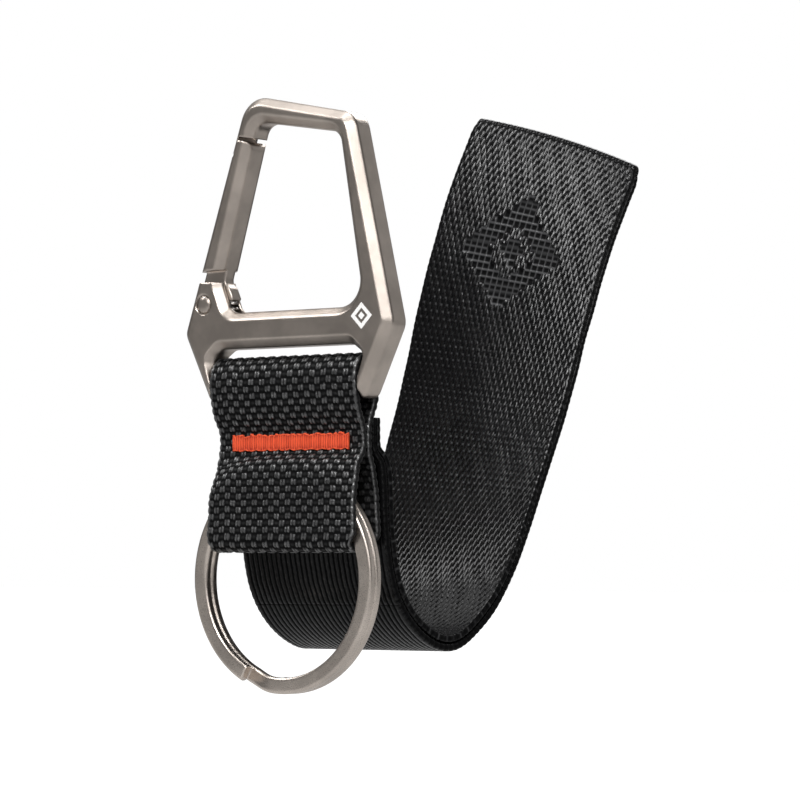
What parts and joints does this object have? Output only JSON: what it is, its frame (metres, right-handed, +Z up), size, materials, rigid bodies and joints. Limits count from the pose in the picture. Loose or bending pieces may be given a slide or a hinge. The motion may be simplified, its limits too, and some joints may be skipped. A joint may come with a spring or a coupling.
{
  "type": "key organiser",
  "caption": "Flat trapezoid spring-gate carabiner with a woven tab, a split key ring and a soft webbing wrist loop.",
  "frame": {"origin": "where the hook bears: on the inside of the carabiner's top bar, in the middle of its thickness and of the frame's width", "axes": "+Z up, along the hanging length; +X to the right across the webbing's width; -Y is the front face"},
  "size_m": [0.036, 0.0636, 0.0829],
  "materials": {
    "satin_metal": "satin warm grey, softly bead-blasted",
    "ring_steel": "satin, lightly tumbled",
    "spring_steel": "bare spring wire",
    "coarse_webbing": "coarse basket weave",
    "fine_webbing": "fine ribbed weave with a slight sheen",
    "tack_thread": "satin thread"
  },
  "bodies": {
    "carabiner": {"carabiner_frame": "satin_metal", "gate_rivet": "satin_metal", "gate_spring": "spring_steel"},
    "gate": {"gate_lever": "satin_metal"},
    "tab": {"tab_bar_loop": "coarse_webbing", "bar_tack_front": "tack_thread", "bar_tack_back": "tack_thread", "strap_sewn_ends": "fine_webbing"},
    "ring_pocket": {"tab_ring_loop": "coarse_webbing"},
    "key_ring": {"split_ring": "ring_steel"},
    "strap_near": {"strap_near_outer_layer": "fine_webbing", "strap_near_inner_layer": "fine_webbing"},
    "strap_far": {"strap_far_outer_layer": "fine_webbing", "strap_far_inner_layer": "fine_webbing", "strap_end_fold": "fine_webbing"}
  },
  "joints": [
    {"name": "gate_open", "type": "hinge", "parent": "carabiner", "child": "gate", "pos_m": [-0.014, 0, -0.0235], "axis": [0, 1, 0], "range_deg": [0, 35], "stiffness_Nm_per_rad": 0.02, "springref_deg": -20.05, "deforming": ["gate_spring"]},
    {"name": "tab_swing", "type": "hinge", "parent": "carabiner", "child": "tab", "pos_m": [0, 0, -0.0344], "axis": [1, 0, 0], "range_deg": [-70, 75]},
    {"name": "pocket_fold", "type": "hinge", "parent": "tab", "child": "ring_pocket", "pos_m": [0, -0.001, -0.0437], "axis": [1, 0, 0], "range_deg": [-75, 0]},
    {"name": "ring_spin", "type": "hinge", "parent": "ring_pocket", "child": "key_ring", "pos_m": [-0.0006, -0.0008, -0.0608], "axis": [0, -1, 0], "continuous": true},
    {"name": "strap_fold_at_tack", "type": "hinge", "parent": "tab", "child": "strap_near", "pos_m": [0, 0.00305, -0.0437], "axis": [1, 0, 0], "range_deg": [0, 35]},
    {"name": "strap_open_at_turn", "type": "hinge", "parent": "strap_near", "child": "strap_far", "pos_m": [0, 0.0133, -0.0696], "axis": [-1, 0, 0], "range_deg": [-10, 60]}
  ]
}
